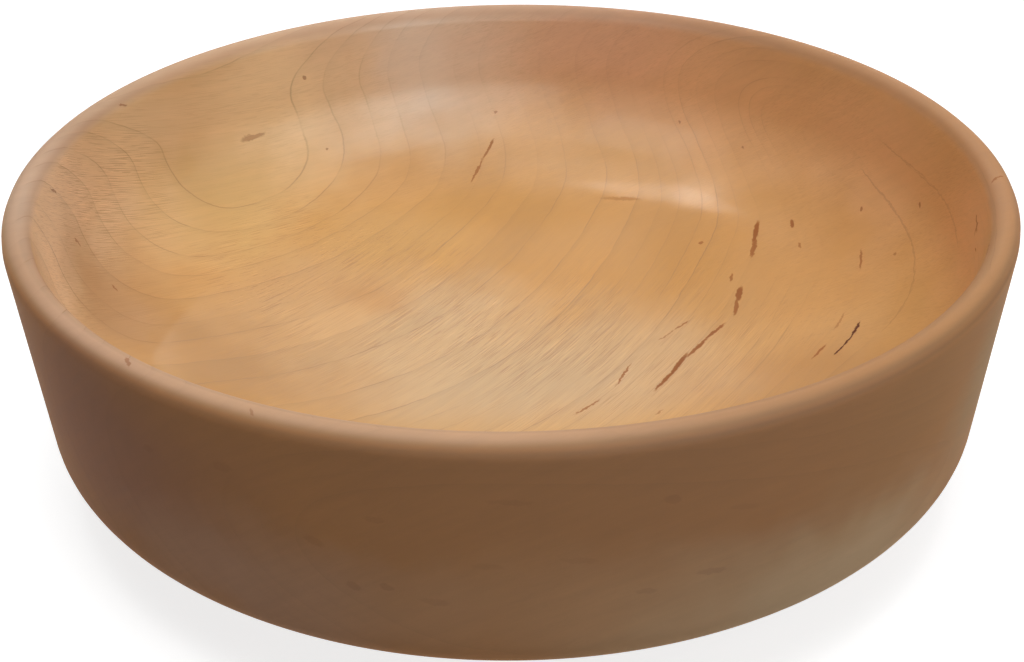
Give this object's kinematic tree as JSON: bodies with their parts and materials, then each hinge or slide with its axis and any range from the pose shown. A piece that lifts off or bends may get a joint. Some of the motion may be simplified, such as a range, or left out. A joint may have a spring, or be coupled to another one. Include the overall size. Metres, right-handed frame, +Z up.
{
  "type": "wooden bowl",
  "caption": "Round turned wooden bowl with a nearly upright wall, rounded lip, dished floor and flat ring foot, for fruit, bread or salad.",
  "frame": {"origin": "on the turning axis, level with the surface that the foot stands on", "axes": "+Z up along the turning axis; +X to the right and +Y away as the bowl is seen in the picture"},
  "size_m": [0.25, 0.25, 0.08],
  "materials": {
    "wood": "satin oil over pale close-grained wood"
  },
  "bodies": {
    "root": {"bowl": "wood"}
  },
  "joints": []
}
